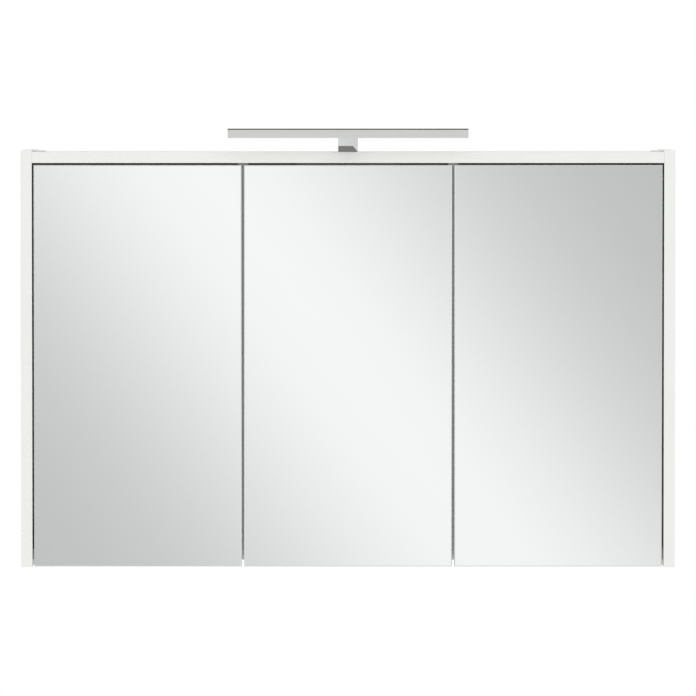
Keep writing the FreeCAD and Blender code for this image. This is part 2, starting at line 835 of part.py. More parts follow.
def lamp_foot():
    """Cast foot between the arm and the top panel, cut back for the arm's rib."""
    half = arm_width / 2
    foot = box(-half, half, foot_front, foot_rear, top_upper, foot_high)
    uprights = [e for e in edges_along(foot, V(0, 0, 1)) if e.CenterOfMass.x < 0]
    foot = foot.makeChamfer(foot_chamfer, uprights).cut(arm_rib())
    cuts = [rod(lead_hole_radius, (0, lead_drop_y, top_upper - 1), (0, lead_drop_y, foot_high + 1))]
    return foot.cut(cuts + foot_screw_holes(top_upper - 1, foot_high + 1))


foot_screw_radius = 2.0
riser_screw_length = 5.0


def foot_screw_holes(low, high):
    """Holes for the two long screws, between two levels."""
    return [rod(foot_screw_radius, (x, y, low), (x, y, high)) for x, y in foot_screw_sites]


def riser_screw_solids(recess):
    """Countersunk screws through the lamp's rear wall into the riser, or their holes."""
    screws = []
    middle = (lamp_low + lamp_high) / 2
    for side in (-1, 1):
        place = (side * riser_width / 3, lamp_rear, middle)
        if recess:
            screws.append(placed(flat_screw(2.4, 1.2, 1.25, riser_screw_length), place, (0, 1, 0)))
        else:
            sink = Part.makeCone(1.25, 2.4, 1.2, V(0, 0, -1.2))
            hole = sink.fuse(Part.makeCylinder(1.25, riser_screw_length, V(0, 0, -riser_screw_length)))
            screws.append(placed(hole, place, (0, 1, 0)))
    return screws


def lamp_screws():
    """Two long screws up through the top panel into the arm, two short ones into the riser."""
    screw = pan_screw(3.6, 1.6, foot_screw_radius, outer_board + foot_height + arm_wall)
    screws = [placed(screw, (x, y, top_under), (0, 0, -1)) for x, y in foot_screw_sites]
    return screws + riser_screw_solids(1)


lead_start_z = lamp_high - lamp_wall - 4.0
lead_end_z = top_under - 12.0


def lamp_lead():
    """Two-core lead from the lamp down into the arm, back, and down into the power box."""
    r = lead_bend
    level = lead_level
    y0, y1 = lead_rise_y, lead_drop_y
    lean = r * math.sin(math.pi / 4)
    first = V(0, y0 + r - lean, level + r - lean)
    second = V(0, y1 - r + lean, level - r + lean)
    path = Part.Wire(
        [
            Part.makeLine(V(0, y0, lead_start_z), V(0, y0, level + r)),
            Part.Arc(V(0, y0, level + r), first, V(0, y0 + r, level)).toShape(),
            Part.makeLine(V(0, y0 + r, level), V(0, y1 - r, level)),
            Part.Arc(V(0, y1 - r, level), second, V(0, y1, level - r)).toShape(),
            Part.makeLine(V(0, y1, level - r), V(0, y1, lead_end_z)),
        ]
    )
    ring = Part.Wire(Part.makeCircle(lead_radius, V(0, y0, lead_start_z), V(0, 0, 1)))
    tube = path.makePipeShell([ring], True, True)
    share = tube.Volume / (path.Length * math.pi * lead_radius**2)
    print(f"lamp lead: {path.Length:.1f} mm long, bends {r:.1f} mm, volume share {share:.4f}")
    return tube


# ---- power box: switch, socket and driver -----------------------------------
box_front = carcass_front + box_front_inset
box_rear = box_front + box_depth
box_low = top_under - box_height
cover_thick = 3.0
cover_rear = box_front + cover_thick
face_z = box_low + box_height / 2  # middle of the socket and the switch
grommet_x = 60.0
grommet_z = face_z
rocker_pivot_y = box_front + 4.0
rocker_pin_radius = 1.0
rocker_half_width = rocker_width / 2
rocker_half_height = rocker_height / 2
cover_hole = 1.6
box_screw_radius = 2.0


def power_box_base():
    """Rear shell of the box, screwed up to the top panel, open to the front."""
    half = box_width / 2
    w = box_wall
    shell = box(-half, half, cover_rear, box_rear, box_low, top_under)
    hollow = box(-half + w, half - w, cover_rear - 1, box_rear - w, box_low + w, top_under - w)
    low, high = top_under - w - 1, top_under + 1
    cuts = [hollow, rod(lead_hole_radius, (0, lead_drop_y, low), (0, lead_drop_y, high))]
    cuts += [rod(box_screw_radius, (x, y, low), (x, y, high)) for x, y in box_screw_sites()]
    start = (grommet_x, box_rear - w - 1, grommet_z)
    cuts.append(rod(grommet_bore, start, (grommet_x, box_rear + 1, grommet_z)))
    return shell.cut(cuts)


def power_box_cover():
    """Front cover with the socket and switch apertures and the rocker's cheeks."""
    half = box_width / 2
    plate = box(-half, half, box_front, cover_rear, box_low, top_under - 0.3)
    rims = [e for e in plate.Edges if abs(e.CenterOfMass.y - box_front) < 1e-6]
    plate = plate.makeFillet(1.2, rims)
    lip = box_wall + 0.2
    ring = box(-half + lip, half - lip, cover_rear, cover_rear + 4, box_low + lip, top_under - lip)
    inner = lip + 2
    low, high = box_low + inner, top_under - inner
    core = box(-half + inner, half - inner, cover_rear - 1, cover_rear + 5, low, high)
    cover = plate.fuse(ring.cut(core))
    rw = rocker_half_width + rocker_play
    rh = rocker_half_height + rocker_play
    for side in (-1, 1):
        x0, x1 = sorted((rocker_offset + side * rw, rocker_offset + side * (rw + 2)))
        cheek = box(x0, x1, cover_rear, cover_rear + 5, face_z - 5, face_z + 5)
        cover = cover.fuse(cheek)
    ahead, behind = box_front - 1, cover_rear + 6
    pin = rw + 1.6
    cuts = [
        rod(socket_rim_radius - 1.8, (socket_offset, ahead, face_z), (socket_offset, behind, face_z)),
        box(rocker_offset - rw, rocker_offset + rw, ahead, behind, face_z - rh, face_z + rh),
        rocker_axle(rocker_pin_radius + 0.1, pin),
    ]
    cuts += [rod(cover_hole, (x, ahead, z), (x, cover_rear + 1, z)) for x, z in cover_screw_sites()]
    return cover.cut(cuts).removeSplitter()


def rocker_axle(radius, half):
    """Cylinder on the rocker's pivot axis, reaching half its length each way."""
    start = (rocker_offset - half, rocker_pivot_y, face_z)
    return rod(radius, start, (rocker_offset + half, rocker_pivot_y, face_z))


def socket_insert():
    """Round socket: rim on the cover, recess for the plug, two pin holes, earth clips."""
    x, z = socket_offset, face_z
    barrel = socket_rim_radius - 2.0
    rim = rod(socket_rim_radius, (x, box_front - 1.6, z), (x, box_front, z))
    body = rod(barrel, (x, box_front, z), (x, box_front + socket_recess_depth + 4, z))
    recess = rod(socket_recess_radius, (x, box_front - 3, z), (x, box_front - 1.6 + socket_recess_depth, z))
    insert = rim.fuse(body).cut(recess)
    floor = box_front - 1.6 + socket_recess_depth
    insert = insert.cut([rod(2.5, (x + d, floor - 1, z), (x + d, floor + 4, z)) for d in (-9.5, 9.5)])
    for up in (-1, 1):
        z0, z1 = sorted((z + up * (socket_recess_radius + 0.5), z + up * (socket_recess_radius - 2.0)))
        insert = insert.fuse(box(x - 2, x + 2, box_front + 3, floor + 0.5, z0, z1))
    return insert.removeSplitter()


def switch_rocker():
    """Rocker with a shallow V face and stub pins, at rest with its lower half pressed."""
    w = rocker_half_width
    h = rocker_half_height
    proud = 1.6
    rise = h * math.tan(math.radians(rocker_tilt))
    crown = box_front - proud
    outline = [
        (crown + rise, face_z),
        (crown, face_z + h),
        (rocker_pivot_y + 1.5, face_z + h - 0.8),
        (rocker_pivot_y + 3.0, face_z + 2.5),
        (rocker_pivot_y + 3.0, face_z - 2.5),
        (rocker_pivot_y + 1.5, face_z - h + 0.8),
        (crown, face_z - h),
    ]
    points = [V(rocker_offset - w, y, z) for y, z in outline]
    wire = Part.makePolygon(points + points[:1])
    body = Part.Face(wire).extrude(V(2 * w, 0, 0))
    pins = rocker_axle(rocker_pin_radius, w + rocker_play + 1.2)
    rocker = body.fuse(pins).removeSplitter()
    rocker.rotate(V(0, rocker_pivot_y, face_z), V(1, 0, 0), rocker_tilt)
    return rocker


def led_driver():
    """Sealed driver block behind the switch, with its terminal step."""
    x0, y0 = -8.0, cover_rear + 12.0
    block = box(x0, x0 + 78, y0, box_rear - box_wall - 3, box_low + box_wall, box_low + box_wall + 25)
    step = box(x0, x0 + 14, y0, box_rear - box_wall - 3, box_low + box_wall + 17, box_low + box_wall + 30)
    return block.makeFillet(1.0, block.Edges).cut(step)


def cable_grommet():
    """Soft ring in the back panel that lines the mains cable's hole."""
    y0, y1 = back_front - grommet_lip, back_rear + grommet_lip
    ring = grommet_rod(grommet_radius + 3, y0, y1)
    groove = grommet_rod(grommet_radius + 6, back_front, back_rear)
    waist = groove.cut(grommet_rod(grommet_radius, y0, y1))
    return ring.cut([waist, grommet_rod(grommet_bore, y0 - 1, y1 + 1)])


def grommet_rod(radius, y0, y1):
    """Cylinder on the grommet's axis between two depths."""
    return rod(radius, (grommet_x, y0, grommet_z), (grommet_x, y1, grommet_z))


def box_screw_sites():
    """X, Y of the screws that hold the box up to the top panel."""
    y = (cover_rear + box_rear) / 2
    return [(-55.0, y + 10), (55.0, y + 10)]


def cover_screw_sites():
    """X, Z of the cover's screws."""
    return [(-box_width / 2 + 7, box_low + 8), (box_width / 2 - 7, box_low + 8), (2.0, box_low + 8)]


box_screw_length = 14.0


def power_box_screws():
    """Screws up into the top panel, and short ones that hold the cover."""
    up = pan_screw(3.8, 1.8, box_screw_radius, box_screw_length)
    screws = [placed(up, (x, y, top_under - box_wall), (0, 0, -1)) for x, y in box_screw_sites()]
    short = pan_screw(2.8, 1.4, cover_hole, cover_thick)
    screws += [placed(short, (x, box_front, z), (0, -1, 0)) for x, z in cover_screw_sites()]
    return screws


def box_screw_holes():
    """Pilot holes in the top panel for the box's screws."""
    high = top_under - box_wall + box_screw_length
    return [rod(box_screw_radius, (x, y, top_under), (x, y, high)) for x, y in box_screw_sites()]


# ---- wall hangers -----------------------------------------------------------
hanger_top = top_under - hanger_drop
hanger_low = hanger_top - hanger_height
hanger_rear = back_front - 0.5
hanger_front = hanger_rear - hanger_depth
hook_high = hanger_top - 16.0
hook_low = hook_high - hook_height
hook_plane = side_face - hanger_width / 2
hook_rear = -1.5
hanger_screw_radius = 2.5
hanger_screw_depth = 11.0
hanger_play = 0.25
hanger_adjust_radius = 2.2
hanger_adjust_length = 12.0
hanger_adjust_offset = 4.6  # adjusting screws beside the hook's plane


def hanger_screw_sites():
    """Y, Z of the screws that hold each housing to its side panel."""
    y = (hanger_front + hanger_rear) / 2
    return [(y, hanger_top - 5.5), (y, hanger_low + 5.5)]


def hanger_screw_holes():
    """Holes in the side panels for the hangers' screws."""
    holes = []
    for side in (-1, 1):
        for y, z in hanger_screw_sites():
            start = (side * side_face, y, z)
            holes.append(rod(hanger_screw_radius, start, (side * (side_face + hanger_screw_depth), y, z)))
    return holes


def hanger_housing(side):
    """Moulded housing in the upper rear corner, slotted for its hook."""
    x0, x1 = sorted((side * (side_face - hanger_width), side * side_face))
    body = box(x0, x1, hanger_front, hanger_rear, hanger_low, hanger_top)
    inner = side * (side_face - hanger_width)
    rims = [e for e in body.Edges if abs(e.CenterOfMass.x - inner) < 1e-6]
    body = body.makeFillet(2.0, rims)
    half = hook_steel / 2
    x = side * hook_plane
    low = hook_low - hook_travel - hanger_play
    high = hook_high + hook_travel + hanger_play
    slot = box(x - half, x + half, hanger_front + 8, hanger_rear + 1, low, high)
    cuts = [slot]
    for y, z in hanger_screw_sites():
        start = (side * (side_face - hanger_width - 1), y, z)
        cuts.append(rod(hanger_screw_radius, start, (side * side_face, y, z)))
    screw_x = side * (hook_plane + hanger_adjust_offset)
    for z in hanger_adjust_levels():
        end = (screw_x, hanger_front + hanger_adjust_length, z)
        cuts.append(rod(hanger_adjust_radius, (screw_x, hanger_front - 1, z), end))
    return body.cut(cuts)


def hanger_adjust_levels():
    """Z of the height and depth adjusting screws on a housing's front."""
    return (hook_high - 1.0, hook_low - 12.0)


def hanger_hook(side):
    """Steel hook: a plate through the housing that turns down behind the rail."""
    half = hook_steel / 2
    x = side * hook_plane
    plate = box(x - half, x + half, hanger_front + 10, hook_rear, hook_low, hook_high)
    lip_front = back_rear + 1.0 + hook_slot
    wide = 5.5
    lip = box(x - wide, x + wide, lip_front, hook_rear, hook_low - hook_lip, hook_high)
    return plate.fuse(lip).removeSplitter()


def hanger_screws():
    """Screws into the side panels and adjusting screws on the housings' fronts."""
    screws = []
    fixing = pan_screw(4.4, 2.0, hanger_screw_radius, hanger_width + hanger_screw_depth)
    adjust = pan_screw(3.4, 1.4, hanger_adjust_radius, hanger_adjust_length)
    for side in (-1, 1):
        for y, z in hanger_screw_sites():
            screws.append(placed(fixing, (side * (side_face - hanger_width), y, z), (-side, 0, 0)))
        for z in hanger_adjust_levels():
            place = (side * (hook_plane + hanger_adjust_offset), hanger_front, z)
            screws.append(placed(adjust, place, (0, -1, 0)))
    return screws


# ---- build every node -------------------------------------------------------
def main():
    """Builds and writes every node."""
    os.makedirs("parts", exist_ok=True)
    save("side_panel_left", [side_panel(-1, "left")])
    save("side_panel_right", [side_panel(1, "right")])
    save("top_panel", [top_panel()])
    save("bottom_panel", [bottom_panel()])
    save("partition_left", [partition(-1, ["middle"])])
    save("partition_right", [partition(1, [])])
    save("back_panel", [back_panel()])
    save("cam_locks", [cam_solid(site) for site in cam_sites()])
    save("cam_bolts", [cam_bolt_solid(site) for site in cam_sites()])
    save("cam_caps", [cam_cap_solid(site) for site in cam_sites()])
    save("dowels", dowel_solids())
    save("partition_screws", partition_screw_solids())

    pegs = []
    for bay, (x0, x1) in BAYS.items():
        for name, row in shelf_rows.items():
            save(f"shelf_{bay}_{name}", [shelf_solid(bay, row)])
            for y in peg_columns():
                pegs.append(shelf_peg(x0, y, peg_level(row), 1))
                pegs.append(shelf_peg(x1, y, peg_level(row), -1))
    save("shelf_pins", pegs)

    plates, arm_screws, plate_fixings = [], [], []
    for door, (_, _, face) in DOORS.items():
        save(f"door_board_{door}", [door_board(door)])
        save(f"door_mirror_{door}", [door_mirror(door)])
        save(f"hinge_arms_{door}", [onto_door(hinge_arm(face), door, z) for z in hinge_levels])
        save(f"hinge_cups_{door}", [onto_door(hinge_cup(), door, z) for z in hinge_levels])
        save(f"hinge_pins_{door}", [onto_door(hinge_pin(), door, z) for z in hinge_levels])
        save(f"cup_screws_{door}", [onto_door(s, door, z) for z in hinge_levels for s in cup_screws()])
        plates += [onto_door(hinge_plate(face), door, z) for z in hinge_levels]
        arm_screws += [onto_door(s, door, z) for z in hinge_levels for s in hinge_arm_screws(face)]
        plate_fixings += plate_screws(door)
    save("hinge_plates", plates)
    save("hinge_arm_screws", arm_screws)
    save("hinge_plate_screws", plate_fixings)
    save("door_bumpers", bumpers())

    save("hanger_housings", [hanger_housing(side) for side in (-1, 1)])
    save("hanger_hooks", [hanger_hook(side) for side in (-1, 1)])
    save("hanger_screws", hanger_screws())

    save("lamp_housing", [lamp_housing()])
    save("lamp_top_plate", [lamp_top_plate()])
    save("lamp_end_caps", lamp_end_caps())
    save("lamp_diffuser", [lamp_diffuser()])
    save("led_strip", led_strip())
    save("lamp_arm", [lamp_arm()])
    save("lamp_foot", [lamp_foot()])
    save("lamp_screws", lamp_screws())
    save("lamp_lead", [lamp_lead()])

    save("power_box_base", [power_box_base()])
    save("power_box_cover", [power_box_cover()])
    save("socket_insert", [socket_insert()])
    save("switch_rocker", [switch_rocker()])
    save("led_driver", [led_driver()])
    save("cable_grommet", [cable_grommet()])
    save("power_box_screws", power_box_screws())


main()
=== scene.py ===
"""Looks of a wall-hung mirror cabinet with a lamp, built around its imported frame.

Every operator finishes one group of pieces. The CAD nodes keep their meshes and
get the finish that each real piece has. Small turned and moulded pieces are new
surfaces, worked out as functions of two parameters. Lengths are in metres.
"""

import math

import bmesh
import bpy
import numpy as np
from bpy.props import FloatProperty, FloatVectorProperty, PointerProperty
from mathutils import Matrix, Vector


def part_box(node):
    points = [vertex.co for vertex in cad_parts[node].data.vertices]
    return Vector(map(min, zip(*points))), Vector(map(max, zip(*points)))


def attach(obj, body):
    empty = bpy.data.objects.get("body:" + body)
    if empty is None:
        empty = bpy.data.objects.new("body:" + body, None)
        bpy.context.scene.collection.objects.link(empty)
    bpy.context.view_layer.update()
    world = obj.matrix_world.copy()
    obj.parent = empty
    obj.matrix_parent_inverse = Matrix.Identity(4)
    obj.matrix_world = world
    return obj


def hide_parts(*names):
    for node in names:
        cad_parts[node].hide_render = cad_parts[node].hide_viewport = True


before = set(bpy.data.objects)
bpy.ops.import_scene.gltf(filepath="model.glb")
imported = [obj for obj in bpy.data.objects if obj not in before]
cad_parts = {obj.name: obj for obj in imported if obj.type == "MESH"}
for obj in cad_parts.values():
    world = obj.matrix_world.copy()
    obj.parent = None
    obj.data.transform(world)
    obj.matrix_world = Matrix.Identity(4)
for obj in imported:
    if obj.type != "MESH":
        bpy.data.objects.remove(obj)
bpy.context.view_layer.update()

bl_info = {
    "name": "Mirror cabinet",
    "version": (1, 0, 0),
    "blender": (4, 5, 0),
    "location": "3D View > Sidebar > Cabinet",
    "description": "Finishes and detail pieces of a wall-hung mirror cabinet",
    "category": "Object",
}

MM = 0.001
DOORS = ("left", "middle", "right")
MIRROR_ARRIS = 0.8 * MM  # depth of the polished slope round a mirror
LENS_DEPTH = 0.79 * MM  # how far the lamp's chips stand down from their circuit strip
GROMMET_BORE = 4.0 * MM  # radius
GROMMET_LIP = 3.0 * MM  # how far its lips stand out from its waist

FLOOR_RADIUS = 8.0
SOFTBOX_WIDTH = 5.0
SOFTBOX_AHEAD = 9.0  # in front of the side boards
SOFTBOX_RISE = 0.9  # above their tops
SOFTBOX_DIP = 0.13  # how far it looks down, in radians
SENSOR_WIDTH = 36.0  # in millimetres
VIEW_REACH = 100.0
AIM_DROP = 0.3026  # middle of the view below the tops of the side boards

ROOM = 0.77  # light from the sides of the room
OVERHEAD = 0.15  # light that the ceiling adds right above
DIM_SPREAD = 0.3  # how far up and down the dimmer light ahead reaches, as a ray's height
MIRROR_LOW = 0.54  # light that the mirrors show far from the band
MIRROR_RISE = 0.45  # light that the band adds in its middle
ACROSS_RIGHT, ACROSS_UP = 0.811, 0.587  # direction across the band, which runs down to the right
BAND_PLACE = -0.0247  # slope at the middle of the band, seen from the mirrors
BAND_WIDTH = 0.0355  # its half width, as a slope
LEAST_AHEAD = 0.05  # keeps the slopes of sideways rays finite


def linear(code, alpha=None):
    """Linear colour of an sRGB hex code such as #EDEDEB, with an alpha where one is given."""
    parts = [int(code[i : i + 2], 16) / 255 for i in (1, 3, 5)]
    rgb = [c / 12.92 if c <= 0.04045 else ((c + 0.055) / 1.055) ** 2.4 for c in parts]
    return tuple(rgb) if alpha is None else (*rgb, alpha)


# ---- settings ---------------------------------------------------------------
class BoardSettings(bpy.types.PropertyGroup):
    """Finish of the boards."""

    face: FloatVectorProperty(
        name="Board colour", description="Colour of the white melamine face",
        subtype="COLOR", size=3, min=0, max=1, default=linear("#EAEAE8"))
    grain: FloatProperty(
        name="Pearl size", description="Spacing of the fine pearl texture pressed into the resin",
        unit="LENGTH", subtype="DISTANCE", default=0.7 * MM, min=0.1 * MM)
    gloss: FloatProperty(
        name="Board roughness", description="Roughness of the melamine face",
        subtype="FACTOR", default=0.42, min=0, max=1)


class GlassSettings(bpy.types.PropertyGroup):
    """Finish of the mirrors and the shelves."""

    silver: FloatVectorProperty(
        name="Silver", description="Tint of the silvering seen through the glass",
        subtype="COLOR", size=3, min=0, max=1, default=linear("#F6F8F7"))
    edge: FloatVectorProperty(
        name="Glass edge", description="Green of the ground edges of the glass",
        subtype="COLOR", size=3, min=0, max=1, default=linear("#A9C4B8"))


class LampSettings(bpy.types.PropertyGroup):
    """Finish of the lamp."""

    body: FloatVectorProperty(
        name="Lamp body", description="Colour of the satin aluminium channel",
        subtype="COLOR", size=3, min=0, max=1, default=linear("#F0F0EE"))


class StageSettings(bpy.types.PropertyGroup):
    """Studio and camera."""

    hanging_height: FloatProperty(
        name="Hanging height", description="Underside of the cabinet above the floor",
        unit="LENGTH", subtype="DISTANCE", default=1.30)
    camera_distance: FloatProperty(
        name="Camera distance", description="Camera in front of the side boards",
        unit="LENGTH", subtype="DISTANCE", default=9.00)
    camera_rise: FloatProperty(
        name="Camera rise", description="Camera above the tops of the side boards",
        unit="LENGTH", subtype="DISTANCE", default=0.045)
    view_width: FloatProperty(
        name="View width", description="Width that the picture covers at the front edges",
        unit="LENGTH", subtype="DISTANCE", default=1.0640)
    light: FloatProperty(
        name="Room light", description="Strength of the soft light from all round",
        default=1.0, min=0)
    softbox: FloatProperty(
        name="Softbox power", description="Power of the large soft lamp in front of the cabinet",
        subtype="POWER", default=270.0, min=0)


SETTINGS = {
    "cabinet_board": BoardSettings,
    "cabinet_glass": GlassSettings,
    "cabinet_lamp": LampSettings,
    "cabinet_stage": StageSettings,
}


# ---- helpers for materials --------------------------------------------------
def feed(tree, socket, value):
    """Gives an input a plain value, or links it to a socket or to a node's first output in use."""
    if isinstance(value, bpy.types.Node):
        value = next(output for output in value.outputs if output.enabled)
    if isinstance(value, bpy.types.NodeSocket):
        tree.links.new(value, socket)
    else:
        socket.default_value = value


def add(tree, kind, inputs=(), **settings):
    """Adds a node with its settings and links. The inputs come in order, or by name."""
    new = tree.nodes.new(kind)
    for key, value in settings.items():
        setattr(new, key, value)
    for key, value in inputs.items() if isinstance(inputs, dict) else enumerate(inputs):
        feed(tree, new.inputs[key], value)
    return new


def material(name, **values):
    """New material: its tree, its Principled shader with constant values, object coordinates."""
    made = bpy.data.materials.new(name)
    made.use_nodes = True
    tree = made.node_tree
    shader = tree.nodes["Principled BSDF"]
    for key, value in values.items():
        colour = isinstance(value, tuple) and len(value) == 3
        shader.inputs[key.replace("_", " ")].default_value = (*value, 1) if colour else value
    place = add(tree, "ShaderNodeTexCoord").outputs["Object"]
    return made, tree, shader, place


def clouded(tree, shader, pattern, low, high):
    """Lets a surface's colour drift between two colours with a pattern about 0.5."""
    share = add(tree, "ShaderNodeMapRange", {"Value": pattern, "From Min": 0.3, "From Max": 0.7})
    ends = {"Factor": share, "A": (*low, 1), "B": (*high, 1)}
    feed(tree, shader.inputs["Base Color"], add(tree, "ShaderNodeMix", ends, data_type="RGBA"))


def worked(tree, shader, marks, smooth, dull, depth, strength=0.5):
    """Gives a surface the marks of its making, which dull it and stand out by a depth."""
    span = {"Value": marks, "To Min": smooth, "To Max": dull}
    feed(tree, shader.inputs["Roughness"], add(tree, "ShaderNodeMapRange", span))
    relief = {"Height": marks, "Distance": depth, "Strength": strength}
    feed(tree, shader.inputs["Normal"], add(tree, "ShaderNodeBump", relief))


def shade(colour, share):
    """Colour with its brightness multiplied."""
    return tuple(min(1.0, c * share) for c in colour)


def finish(node_names, made):
    """Puts a material on CAD nodes."""
    for name in node_names:
        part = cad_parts[name]
        for place in part.material_slots:
            place.material = made
        if not part.material_slots:
            part.data.materials.append(made)


def shared(make):
    """Material made once by its function and used by several operators."""
    if make.__name__ not in shared.made:
        shared.made[make.__name__] = make()
    return shared.made[make.__name__]


shared.made = {}


# ---- helpers for shapes -----------------------------------------------------
def settle(name, mesh, made, body):
    """Makes an object of a mesh: welds its seams and poles, turns faces outwards, smooths it."""
    work = bmesh.new()
    work.from_mesh(mesh)
    bmesh.ops.remove_doubles(work, verts=work.verts, dist=1e-7)
    bmesh.ops.dissolve_degenerate(work, edges=work.edges, dist=1e-8)
    bmesh.ops.recalc_face_normals(work, faces=work.faces)
    work.to_mesh(mesh)
    work.free()
    mesh.shade_smooth()
    mesh.set_sharp_from_angle(angle=math.radians(35))
    mesh.materials.append(made)
    piece = bpy.data.objects.new(name, mesh)
    bpy.context.scene.collection.objects.link(piece)
    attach(piece, body)
    return piece


def turned(outline, centre, axis, steps):
    """Grid of a turned surface.

    The outline is a closed or open list of (radius, height) pairs. A point of the
    surface is the centre, plus the height along the axis, plus the radius times
    (cos t, sin t) in the plane across it, for t once round.
    """
    along = np.array(axis, float)
    across = np.array((0.0, 0.0, 1.0) if abs(along[2]) < 0.9 else (1.0, 0.0, 0.0))
    side = np.cross(along, across)
    turn = np.linspace(0, 2 * math.pi, steps, endpoint=False)
    ring = np.cos(turn)[:, None] * across + np.sin(turn)[:, None] * side
    radius, height = np.array(outline, float).T[:, None, :, None]
    return np.array(centre, float) + height * along + radius * ring[:, None]


def arc(middle, radius, start, end, steps):
    """Points of a circular arc in an outline, between two angles in degrees."""
    t = np.radians(np.linspace(start, end, steps))
    return [(middle[0] + radius * math.cos(a), middle[1] + radius * math.sin(a)) for a in t]


def quads(rows, columns, loop=False):
    """Faces of a grid that is closed along its rows, and along its columns where it is a loop."""
    u, v = np.meshgrid(np.arange(rows), np.arange(columns if loop else columns - 1), indexing="ij")
    nu, nv = (u + 1) % rows, (v + 1) % columns
    corners = (u * columns + v, nu * columns + v, nu * columns + nv, u * columns + nv)
    return np.stack(corners, -1).reshape(-1, 4)


def joined(name, grids, made, body, loop=False):
    """One piece of several turned grids, each closed round its axis."""
    points, faces, base = [], [], 0
    for grid in grids:
        rows, columns = grid.shape[:2]
        points.append(grid.reshape(-1, 3))
        faces.append(quads(rows, columns, loop) + base)
        base += rows * columns
    mesh = bpy.data.meshes.new(name)
    mesh.from_pydata(np.concatenate(points).tolist(), [], np.concatenate(faces).tolist())
    return settle(name, mesh, made, body)


def solids(node):
    """Boxes of a CAD node's separate solids, each as its lowest and highest corner."""
    work = bmesh.new()
    work.from_mesh(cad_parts[node].data)
    bmesh.ops.remove_doubles(work, verts=work.verts, dist=1e-6)
    found, seen = [], set()
    for start in work.verts:
        if start.index in seen:
            continue
        seen.add(start.index)
        stack, members = [start], []
        while stack:
            vert = stack.pop()
            members.append(vert.co[:])
            for edge in vert.link_edges:
                other = edge.other_vert(vert)
                if other.index not in seen:
                    seen.add(other.index)
                    stack.append(other)
        corners = np.array(members)
        found.append((corners.min(0), corners.max(0)))
    work.free()
    return sorted(found, key=lambda box: tuple(np.round(box[0], 5)))


# ---- materials: boards and wood ---------------------------------------------
def melamine_face(face, grain, gloss):
    """Melamine-faced chipboard: white paper pressed under resin against a pearl-textured plate.
    The eye gets an even white with a soft sheen, broken by a fine pearl and faint cloudiness.
    The real pearl is about 0.3 mm, and it is drawn coarser so that it shows."""
    made, tree, shader, place = material(
        "melamine_faced_board", Base_Color=face, Roughness=gloss, IOR=1.5)
    pearl = add(tree, "ShaderNodeTexVoronoi", {"Vector": place, "Scale": 1 / grain},
                feature="SMOOTH_F1")
    cloud = add(tree, "ShaderNodeTexNoise",
                {"Vector": place, "Scale": 1 / (166.7 * MM), "Detail": 3.0})
    clouded(tree, shader, cloud.outputs["Fac"], shade(face, 0.985), shade(face, 1.01))
    worked(tree, shader, pearl.outputs["Distance"], gloss - 0.06, gloss + 0.08, 0.02 * MM, 0.35)
    return made


def back_hardboard(face, rear_plane):
    """Hardboard: wet-pressed wood fibre, lacquered white on its smooth front face. The front is
    an even white. The rear is brown fibre with the print of the screen it was pressed on.
    Single fibres are a tenth of a millimetre wide, and tufts of them are drawn instead."""
    made, tree, shader, place = material("lacquered_hardboard")
    fibre = add(tree, "ShaderNodeTexNoise",
                {"Vector": place, "Scale": 1 / (2.381 * MM), "Detail": 6.0, "Roughness": 0.7})
    blotch = add(tree, "ShaderNodeTexNoise",
                 {"Vector": place, "Scale": 1 / (71.43 * MM), "Detail": 4.0})
    both = add(tree, "ShaderNodeMath", (blotch.outputs["Fac"], 0.12, fibre.outputs["Fac"]),
               operation="MULTIPLY_ADD")
    brown = add(tree, "ShaderNodeValToRGB", {"Fac": both})
    brown.color_ramp.elements.new(0.5)
    browns = ((0.40, "#7A5535"), (0.56, "#94693F"), (0.72, "#B0875A"))
    for stop, (position, code) in zip(brown.color_ramp.elements, browns):
        stop.position, stop.color = position, linear(code, 1)
    depth = add(tree, "ShaderNodeSeparateXYZ", (place,)).outputs["Y"]
    rear = add(tree, "ShaderNodeMath", (depth, rear_plane), operation="GREATER_THAN")
    sides = {"Factor": rear, "A": (*shade(face, 0.97), 1), "B": brown.outputs["Color"]}
    feed(tree, shader.inputs["Base Color"], add(tree, "ShaderNodeMix", sides, data_type="RGBA"))
    rough = add(tree, "ShaderNodeMapRange", {"Value": rear, "To Min": 0.4, "To Max": 0.85})
    feed(tree, shader.inputs["Roughness"], rough)
    wires = {"Vector": place, "Scale": math.pi / 10 / (0.8267 * MM)}  # a wave is pi / 10 long
    upright = add(tree, "ShaderNodeTexWave", wires, bands_direction="X").outputs["Fac"]
    level = add(tree, "ShaderNodeTexWave", wires, bands_direction="Z").outputs["Fac"]
    screen = add(tree, "ShaderNodeMath", (upright, level), operation="MULTIPLY")
    print_mark = add(tree, "ShaderNodeMath", (screen, rear), operation="MULTIPLY")
    relief = {"Height": print_mark, "Distance": 0.15 * MM, "Strength": 0.6}
    feed(tree, shader.inputs["Normal"], add(tree, "ShaderNodeBump", relief))
    return made


def turned_beech():
    """Beech dowel: straight-grained, pinkish brown, with short dark flecks along the grain."""
    made, tree, shader, place = material("turned_beech", Roughness=0.6)
    along = add(tree, "ShaderNodeMapping", {"Vector": place, "Scale": (0.12, 1.0, 1.0)})
    fleck = add(tree, "ShaderNodeTexNoise",
                {"Vector": along, "Scale": 1 / (1.111 * MM), "Detail": 4.0}).outputs["Fac"]
    clouded(tree, shader, fleck, linear("#B98B5E"), linear("#DDB98C"))
    relief = {"Height": fleck, "Distance": 0.05 * MM, "Strength": 1.0}
    feed(tree, shader.inputs["Normal"], add(tree, "ShaderNodeBump", relief))
    return made


